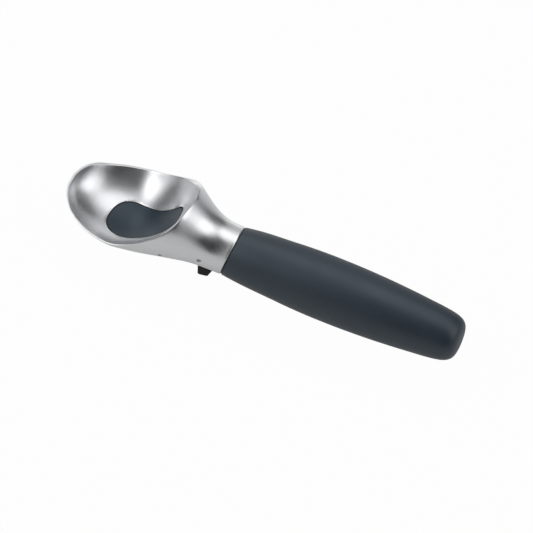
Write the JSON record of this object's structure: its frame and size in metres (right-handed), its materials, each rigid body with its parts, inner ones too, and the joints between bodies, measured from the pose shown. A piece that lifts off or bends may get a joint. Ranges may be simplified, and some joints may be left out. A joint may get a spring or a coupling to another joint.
{
  "type": "ice cream scoop",
  "caption": "Hand scoop with an oval metal bowl, a soft ejector pad in its floor worked by a trigger under the neck, and a barrel-shaped soft grip.",
  "frame": {"origin": "centre of the flat end face of the handle, on the handle's axis", "axes": "+X out of the handle's end, away from the bowl; +Z the way the bowl opens; +Y to complete a right-handed frame"},
  "size_m": [0.2131, 0.0552, 0.0484],
  "materials": {
    "satin_metal": "bead-blasted satin",
    "pad_silicone": "matte slate",
    "dark_plastic": "matte",
    "bush_plastic": "natural acetal",
    "pin_steel": "turned",
    "trigger_plastic": "fine matte",
    "bush_brass": "turned",
    "seal_rubber": "matte black",
    "core_plastic": "moulded",
    "grip_rubber": "soft-touch slate"
  },
  "bodies": {
    "scoop": {"scoop_head": "satin_metal", "front_pivot_pin": "pin_steel", "front_washers": "bush_plastic", "rear_pivot_pin": "pin_steel", "rear_washers": "bush_plastic", "mechanism_cover": "dark_plastic", "cover_screw": "pin_steel", "collar_seal": "seal_rubber", "handle_core": "core_plastic", "tie_screw": "pin_steel", "tie_washer": "pin_steel", "core_end_plug": "core_plastic", "grip_sleeve": "grip_rubber"},
    "trigger_lever": {"trigger": "trigger_plastic", "trigger_bush": "bush_brass", "return_spring": "pin_steel"},
    "ejector": {"ejector_pad": "pad_silicone", "ejector_carrier": "dark_plastic", "ejector_bush": "bush_plastic"}
  },
  "joints": [
    {"name": "trigger_pull", "type": "hinge", "parent": "scoop", "child": "trigger_lever", "pos_m": [-0.1364, 0, 0], "axis": [0, -1, 0], "range_deg": [0, 15.5], "stiffness_Nm_per_rad": 0.1, "springref_deg": -22.92, "deforming": ["return_spring"]},
    {"name": "ejector_lift", "type": "hinge", "parent": "scoop", "child": "ejector", "pos_m": [-0.1555, 0, -0.0012], "axis": [0, 1, 0], "range_deg": [0, 24]}
  ],
  "couplings": [
    {"joint": "ejector_lift", "follows": "trigger_pull", "ratio": 1.5467}
  ]
}
